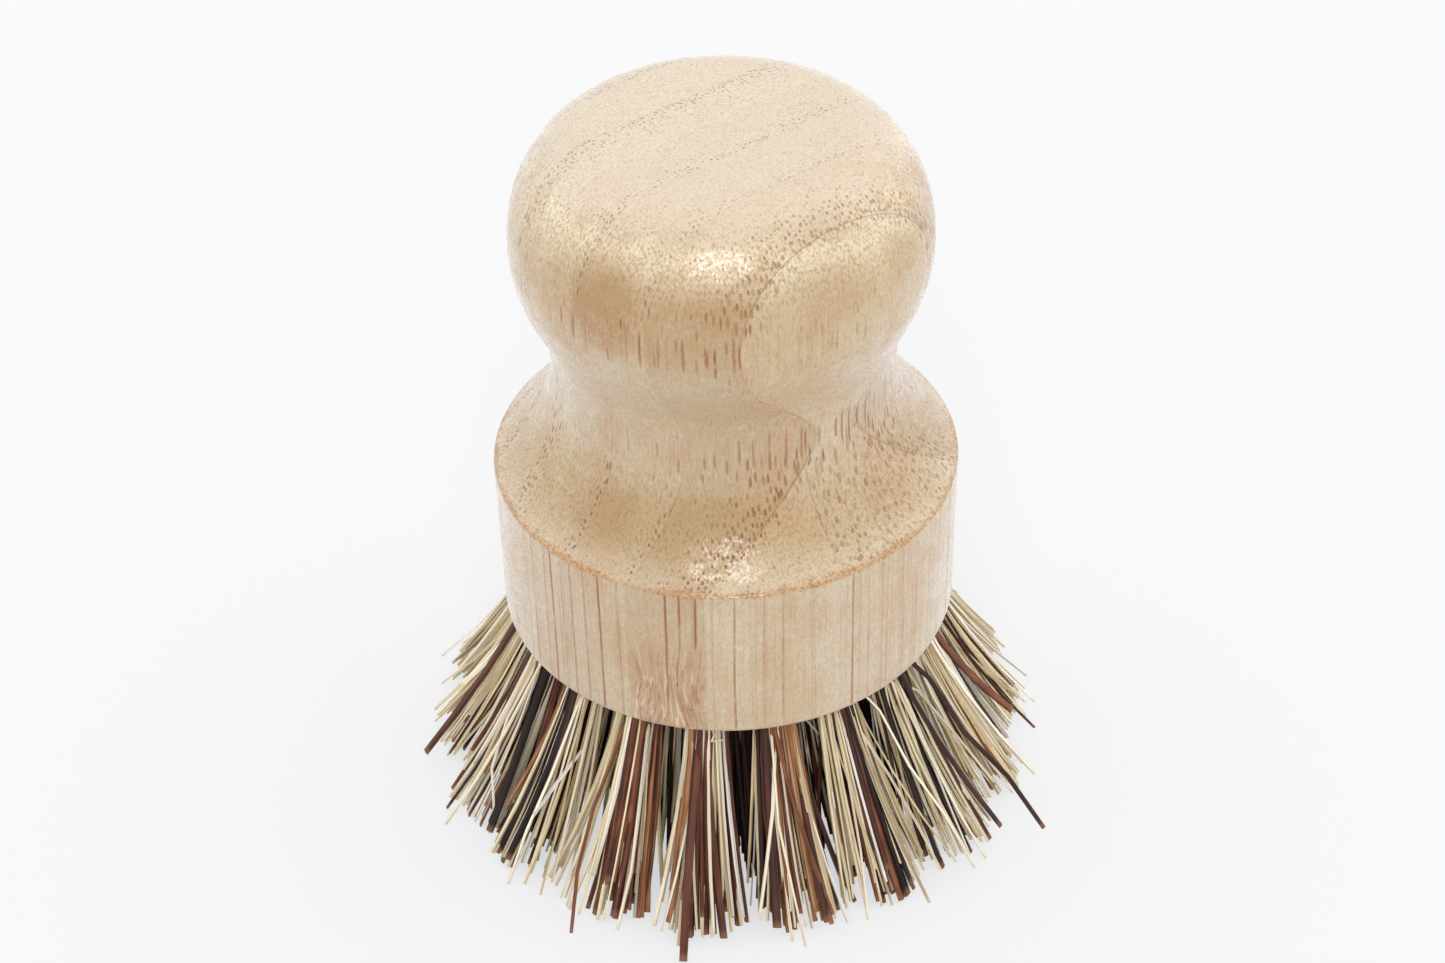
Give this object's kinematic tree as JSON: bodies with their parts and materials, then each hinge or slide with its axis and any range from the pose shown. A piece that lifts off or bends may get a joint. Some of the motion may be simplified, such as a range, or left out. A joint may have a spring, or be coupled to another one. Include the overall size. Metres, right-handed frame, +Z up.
{
  "type": "pot scrubber",
  "caption": "Round pot scrubber: a turned bamboo knob handle whose drilled head holds stiff plant-fibre tufts.",
  "frame": {"origin": "on the handle's axis, on the ground that the bristle tips stand on", "axes": "+Z up along the handle's axis, out of the knob's flat top; -Y towards the camera of the picture"},
  "size_m": [0.078, 0.0764, 0.0905],
  "materials": {
    "bamboo": "satin",
    "mixed_fibre": "matte",
    "anchor_wire": "satin"
  },
  "bodies": {
    "root": {"handle": "bamboo", "centre_tuft": "mixed_fibre", "inner_tuft_01": "mixed_fibre", "inner_tuft_02": "mixed_fibre", "inner_tuft_03": "mixed_fibre", "inner_tuft_04": "mixed_fibre", "inner_tuft_05": "mixed_fibre", "inner_tuft_06": "mixed_fibre", "middle_tuft_01": "mixed_fibre", "middle_tuft_02": "mixed_fibre", "middle_tuft_03": "mixed_fibre", "middle_tuft_04": "mixed_fibre", "middle_tuft_05": "mixed_fibre", "middle_tuft_06": "mixed_fibre", "middle_tuft_07": "mixed_fibre", "middle_tuft_08": "mixed_fibre", "middle_tuft_09": "mixed_fibre", "middle_tuft_10": "mixed_fibre", "middle_tuft_11": "mixed_fibre", "middle_tuft_12": "mixed_fibre", "outer_tuft_01": "mixed_fibre", "outer_tuft_02": "mixed_fibre", "outer_tuft_03": "mixed_fibre", "outer_tuft_04": "mixed_fibre", "outer_tuft_05": "mixed_fibre", "outer_tuft_06": "mixed_fibre", "outer_tuft_07": "mixed_fibre", "outer_tuft_08": "mixed_fibre", "outer_tuft_09": "mixed_fibre", "outer_tuft_10": "mixed_fibre", "outer_tuft_11": "mixed_fibre", "outer_tuft_12": "mixed_fibre", "outer_tuft_13": "mixed_fibre", "outer_tuft_14": "mixed_fibre", "outer_tuft_15": "mixed_fibre", "outer_tuft_16": "mixed_fibre", "outer_tuft_17": "mixed_fibre", "outer_tuft_18": "mixed_fibre", "tuft_anchors": "anchor_wire"}
  },
  "joints": []
}
